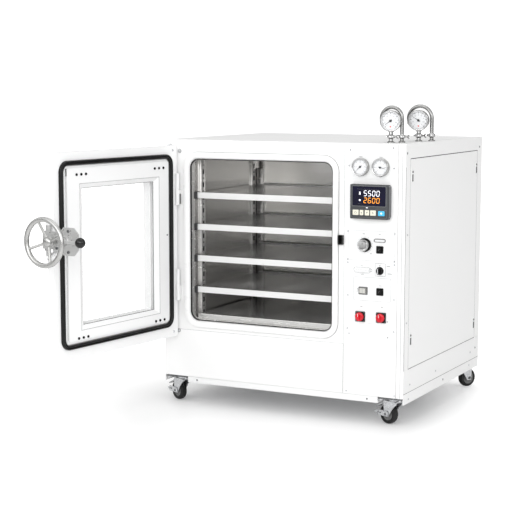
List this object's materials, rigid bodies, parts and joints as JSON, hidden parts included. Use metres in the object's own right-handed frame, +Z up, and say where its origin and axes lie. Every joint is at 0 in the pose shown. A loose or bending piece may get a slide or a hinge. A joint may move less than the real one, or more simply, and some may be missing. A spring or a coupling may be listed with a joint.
{
  "type": "vacuum oven",
  "caption": "Floor-standing vacuum oven on casters: heated chamber with sliding shelves, windowed side-hinged door with swing clamp, control column and roof gauges.",
  "frame": {"origin": "on the floor, under the centre of the outline of the whole part as it stands with the door open", "axes": "+Z up, +Y from the front panel towards the rear panel and along the vacuum port, +X towards the control column side"},
  "size_m": [1.083, 1.7139, 1.166],
  "materials": {
    "white_paint": "smooth white powder coat",
    "stainless": "satin stainless sheet",
    "polished_steel": "polished stainless",
    "zinc": "bright zinc plate",
    "aluminium": "satin cast aluminium",
    "dark_steel": "dark oxide",
    "grey_plastic": "moulded, fine grain",
    "black_plastic": "moulded black",
    "red_plastic": "moulded red",
    "cream_plastic": "moulded cream",
    "black_rubber": "extruded silicone seal",
    "tyre": "black rubber tread",
    "glass": "clear toughened glass",
    "mineral_wool": "mineral wool slab",
    "heater_mat": "silicone heating mat",
    "needle_black": "matt black"
  },
  "bodies": {
    "cabinet": {"base_pan": "zinc", "frame_bars": "white_paint", "side_panels": "white_paint", "rear_panel": "white_paint", "top_panel": "white_paint", "front_panel": "white_paint", "lower_front_cover": "white_paint", "control_panel": "white_paint", "chamber_shell": "stainless", "flange_ring": "white_paint", "insulation": "mineral_wool", "wall_heaters": "heater_mat", "shelf_uprights": "stainless", "door_fittings": "white_paint", "instrument_plates": "white_paint", "temperature_controller": "grey_plastic", "controller_keypad": "cream_plastic", "panel_gauges": "polished_steel", "switch_bezels": "black_plastic", "vacuum_pipework": "stainless", "top_gauges": "polished_steel", "gauge_tubes": "polished_steel", "cable_gland": "black_plastic", "panel_screws": "zinc"},
    "door": {"door_casing": "white_paint", "door_inner_panel": "white_paint", "door_gasket": "black_rubber", "door_glass": "glass", "door_window_frame": "white_paint"},
    "clamp": {"clamp_yoke": "aluminium"},
    "lever": {"ball_lever": "polished_steel"},
    "wheel": {"handwheel": "aluminium"},
    "hook": {"draw_hook": "dark_steel"},
    "tray": {"floor_tray": "stainless"},
    "shelf_1": {"shelf_1": "stainless"},
    "shelf_2": {"shelf_2": "stainless"},
    "shelf_3": {"shelf_3": "stainless"},
    "shelf_4": {"shelf_4": "stainless"},
    "panel_needle_left": {"panel_needle_left": "needle_black"},
    "panel_needle_right": {"panel_needle_right": "needle_black"},
    "top_needle_front": {"top_needle_front": "needle_black"},
    "top_needle_rear": {"top_needle_rear": "needle_black"},
    "vacuum_knob": {"vacuum_knob": "polished_steel"},
    "heater_switch": {"heater_switch": "red_plastic"},
    "pump_switch": {"pump_switch": "red_plastic"},
    "selector_key": {"selector_key": "black_plastic"},
    "alarm_button": {"alarm_button": "black_plastic"},
    "reset_button": {"reset_button": "black_plastic"},
    "lamp_button": {"lamp_button": "cream_plastic"},
    "service_panel": {"service_panel": "white_paint"},
    "fork_fl": {"caster_fork_fl": "zinc"},
    "wheel_fl": {"caster_wheel_fl": "tyre"},
    "pedal_fl": {"brake_pedal_fl": "zinc"},
    "fork_fr": {"caster_fork_fr": "zinc"},
    "wheel_fr": {"caster_wheel_fr": "tyre"},
    "pedal_fr": {"brake_pedal_fr": "zinc"},
    "fork_rl": {"caster_fork_rl": "zinc"},
    "wheel_rl": {"caster_wheel_rl": "tyre"},
    "fork_rr": {"caster_fork_rr": "zinc"},
    "wheel_rr": {"caster_wheel_rr": "tyre"}
  },
  "joints": [
    {"name": "door_hinge", "type": "hinge", "parent": "cabinet", "child": "door", "pos_m": [-0.39927, -0.04505, 0.585], "axis": [0, 0, 1], "range_deg": [0, 96.5]},
    {"name": "clamp_swing", "type": "hinge", "parent": "door", "child": "clamp", "pos_m": [-0.49963, -0.74922, 0.709], "axis": [0, 0, 1], "range_deg": [-90, 0]},
    {"name": "lever_turn", "type": "hinge", "parent": "clamp", "child": "lever", "pos_m": [-0.41261, -0.78932, 0.709], "axis": [-0.1132, -0.9936, 0], "range_deg": [0, 90]},
    {"name": "handwheel_turn", "type": "hinge", "parent": "clamp", "child": "wheel", "pos_m": [-0.4535, -0.83901, 0.709], "axis": [-0.1132, -0.9936, 0], "range_deg": [-540, 0]},
    {"name": "hook_draw", "type": "slide", "parent": "clamp", "child": "hook", "axis": [-0.1132, -0.9936, 0], "range_m": [0, 0.00301]},
    {"name": "shelf_1_slide", "type": "slide", "parent": "cabinet", "child": "shelf_1", "axis": [0, 1, 0], "range_m": [-0.42, 0]},
    {"name": "shelf_2_slide", "type": "slide", "parent": "cabinet", "child": "shelf_2", "axis": [0, 1, 0], "range_m": [-0.42, 0]},
    {"name": "shelf_3_slide", "type": "slide", "parent": "cabinet", "child": "shelf_3", "axis": [0, 1, 0], "range_m": [-0.42, 0]},
    {"name": "shelf_4_slide", "type": "slide", "parent": "cabinet", "child": "shelf_4", "axis": [0, 1, 0], "range_m": [-0.42, 0]},
    {"name": "tray_slide", "type": "slide", "parent": "cabinet", "child": "tray", "axis": [0, 1, 0], "range_m": [-0.42, 0]},
    {"name": "panel_needle_left_turn", "type": "hinge", "parent": "cabinet", "child": "panel_needle_left", "pos_m": [0.35873, -0.03905, 0.9455], "axis": [0, -1, 0], "range_deg": [-260, 0], "stiffness_Nm_per_rad": 0.002},
    {"name": "panel_needle_right_turn", "type": "hinge", "parent": "cabinet", "child": "panel_needle_right", "pos_m": [0.43673, -0.03905, 0.9455], "axis": [0, -1, 0], "range_deg": [-26, 234], "stiffness_Nm_per_rad": 0.002},
    {"name": "top_needle_front_turn", "type": "hinge", "parent": "cabinet", "child": "top_needle_front", "pos_m": [0.43722, 0.05121, 1.109], "axis": [0.2079, -0.9781, 0], "range_deg": [-255, 5], "stiffness_Nm_per_rad": 0.002},
    {"name": "top_needle_rear_turn", "type": "hinge", "parent": "cabinet", "child": "top_needle_rear", "pos_m": [0.48323, 0.21121, 1.108], "axis": [0.2079, -0.9781, 0], "range_deg": [-188, 72], "stiffness_Nm_per_rad": 0.002},
    {"name": "vacuum_knob_turn", "type": "hinge", "parent": "cabinet", "child": "vacuum_knob", "pos_m": [0.37673, -0.04405, 0.664], "axis": [0, -1, 0], "range_deg": [0, 720]},
    {"name": "heater_switch_turn", "type": "hinge", "parent": "cabinet", "child": "heater_switch", "pos_m": [0.36123, -0.04405, 0.401], "axis": [0, -1, 0], "range_deg": [-90, 0]},
    {"name": "pump_switch_turn", "type": "hinge", "parent": "cabinet", "child": "pump_switch", "pos_m": [0.44273, -0.04405, 0.402], "axis": [0, -1, 0], "range_deg": [-90, 0]},
    {"name": "selector_turn", "type": "hinge", "parent": "cabinet", "child": "selector_key", "pos_m": [0.43773, -0.04405, 0.573], "axis": [0, -1, 0], "range_deg": [-45, 45]},
    {"name": "alarm_button_press", "type": "slide", "parent": "cabinet", "child": "alarm_button", "axis": [0, 1, 0], "range_m": [0, 0.0026], "stiffness_N_per_m": 300},
    {"name": "reset_button_press", "type": "slide", "parent": "cabinet", "child": "reset_button", "axis": [0, 1, 0], "range_m": [0, 0.0026], "stiffness_N_per_m": 300},
    {"name": "lamp_button_press", "type": "slide", "parent": "cabinet", "child": "lamp_button", "axis": [0, 1, 0], "range_m": [0, 0.0026], "stiffness_N_per_m": 300},
    {"name": "service_panel_pull", "type": "slide", "parent": "cabinet", "child": "service_panel", "axis": [1, 0, 0], "range_m": [0, 0.06]},
    {"name": "caster_swivel_fl", "type": "hinge", "parent": "cabinet", "child": "fork_fl", "pos_m": [-0.41727, 0.02095, 0.095], "axis": [0, 0, 1], "continuous": true},
    {"name": "caster_roll_fl", "type": "hinge", "parent": "fork_fl", "child": "wheel_fl", "pos_m": [-0.44154, 0.03279, 0.0375], "axis": [-0.4384, -0.8988, 0], "continuous": true},
    {"name": "brake_pedal_fl_press", "type": "hinge", "parent": "fork_fl", "child": "pedal_fl", "pos_m": [-0.44693, 0.03542, 0.0805], "axis": [-0.4384, -0.8988, 0], "range_deg": [0, 7]},
    {"name": "caster_swivel_fr", "type": "hinge", "parent": "cabinet", "child": "fork_fr", "pos_m": [0.47873, 0.02095, 0.095], "axis": [0, 0, 1], "continuous": true},
    {"name": "caster_roll_fr", "type": "hinge", "parent": "fork_fr", "child": "wheel_fr", "pos_m": [0.4537, 0.03106, 0.0375], "axis": [-0.3746, -0.9272, 0], "continuous": true},
    {"name": "brake_pedal_fr_press", "type": "hinge", "parent": "fork_fr", "child": "pedal_fr", "pos_m": [0.44813, 0.03331, 0.0805], "axis": [-0.3746, -0.9272, 0], "range_deg": [0, 7]},
    {"name": "caster_swivel_rl", "type": "hinge", "parent": "cabinet", "child": "fork_rl", "pos_m": [-0.41727, 0.76295, 0.095], "axis": [0, 0, 1], "continuous": true},
    {"name": "caster_roll_rl", "type": "hinge", "parent": "fork_rl", "child": "wheel_rl", "pos_m": [-0.42651, 0.78832, 0.0375], "axis": [-0.9397, -0.342, 0], "continuous": true},
    {"name": "caster_swivel_rr", "type": "hinge", "parent": "cabinet", "child": "fork_rr", "pos_m": [0.47873, 0.76295, 0.095], "axis": [0, 0, 1], "continuous": true},
    {"name": "caster_roll_rr", "type": "hinge", "parent": "fork_rr", "child": "wheel_rr", "pos_m": [0.49223, 0.78633, 0.0375], "axis": [-0.866, 0.5, 0], "continuous": true}
  ],
  "couplings": [
    {"joint": "clamp_swing", "follows": "door_hinge", "ratio": -0.93264},
    {"joint": "hook_draw", "follows": "handwheel_turn", "m_per_rad": -0.00031831}
  ]
}
